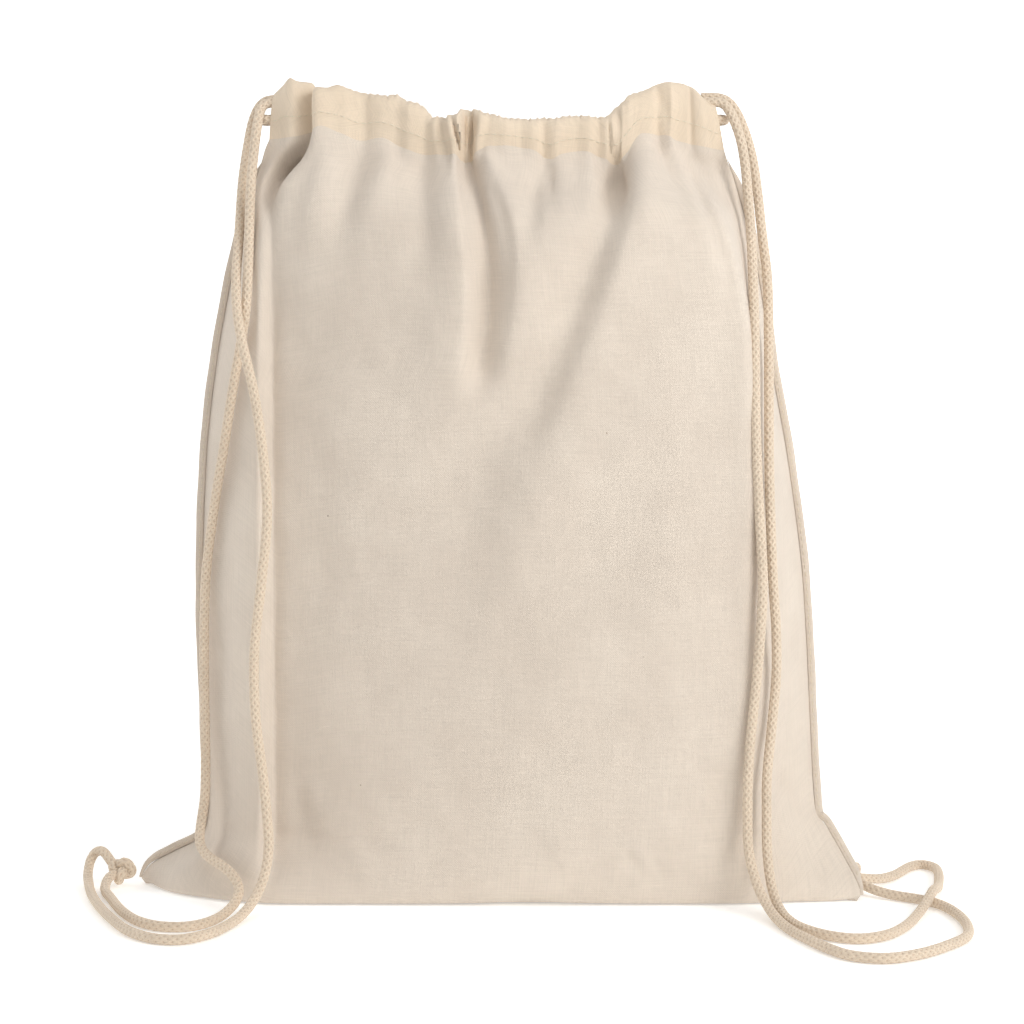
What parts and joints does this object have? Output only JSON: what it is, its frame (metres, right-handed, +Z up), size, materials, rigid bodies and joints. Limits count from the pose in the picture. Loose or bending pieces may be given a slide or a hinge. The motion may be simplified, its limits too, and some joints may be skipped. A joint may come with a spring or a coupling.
{
  "type": "drawstring backpack",
  "caption": "Unlined cotton drawstring sack, filled out square, with a gathered mouth and paired cords that run through both hems and tie at the bottom corners as shoulder straps.",
  "frame": {"origin": "on the floor under the middle of the sack", "axes": "+Z up, the front of the bag faces -Y, +X to the right seen from the front"},
  "size_m": [0.4151, 0.2205, 0.381],
  "materials": {
    "sack_cotton": "matt plain-weave natural cotton with small seed specks",
    "hem_cotton": "matt plain-weave natural cotton, two layers, ruffled",
    "cord_cotton": "soft braided natural cotton",
    "thread": "spun sewing thread, slight sheen"
  },
  "bodies": {
    "sack": {"front_panel": "sack_cotton", "back_panel": "sack_cotton", "left_side_seam": "sack_cotton", "right_side_seam": "sack_cotton", "left_seam_stitching": "thread", "right_seam_stitching": "thread", "bottom_seam": "sack_cotton", "left_cord_turn": "cord_cotton", "right_cord_turn": "cord_cotton", "left_front_strap_tail": "cord_cotton", "left_back_strap_tail": "cord_cotton", "right_front_strap_tail": "cord_cotton", "right_back_strap_tail": "cord_cotton", "left_knot": "cord_cotton", "right_knot": "cord_cotton"},
    "front_mouth": {"front_casing": "hem_cotton", "front_casing_stitching": "thread", "left_cord_front_run": "cord_cotton", "right_cord_front_run": "cord_cotton"},
    "back_mouth": {"back_casing": "hem_cotton", "back_casing_stitching": "thread", "left_cord_back_run": "cord_cotton", "right_cord_back_run": "cord_cotton"},
    "left_shoulder_cord": {"left_front_strap": "cord_cotton", "left_back_strap": "cord_cotton"},
    "right_shoulder_cord": {"right_front_strap": "cord_cotton", "right_back_strap": "cord_cotton"}
  },
  "joints": [
    {"name": "front_mouth_open", "type": "hinge", "parent": "sack", "child": "front_mouth", "pos_m": [0, -0.02, 0.342], "axis": [1, 0, 0], "range_deg": [0, 28]},
    {"name": "back_mouth_open", "type": "hinge", "parent": "sack", "child": "back_mouth", "pos_m": [0, 0.02, 0.342], "axis": [-1, 0, 0], "range_deg": [0, 28]},
    {"name": "left_cord_swing", "type": "hinge", "parent": "sack", "child": "left_shoulder_cord", "pos_m": [-0.12, 0.002, 0.372], "axis": [-0.0691, 0.006, -0.9976], "range_deg": [0, 70]},
    {"name": "right_cord_swing", "type": "hinge", "parent": "sack", "child": "right_shoulder_cord", "pos_m": [0.115, 0.002, 0.372], "axis": [-0.093, 0, 0.9957], "range_deg": [0, 70]}
  ],
  "couplings": [
    {"joint": "back_mouth_open", "follows": "front_mouth_open", "ratio": 1}
  ]
}
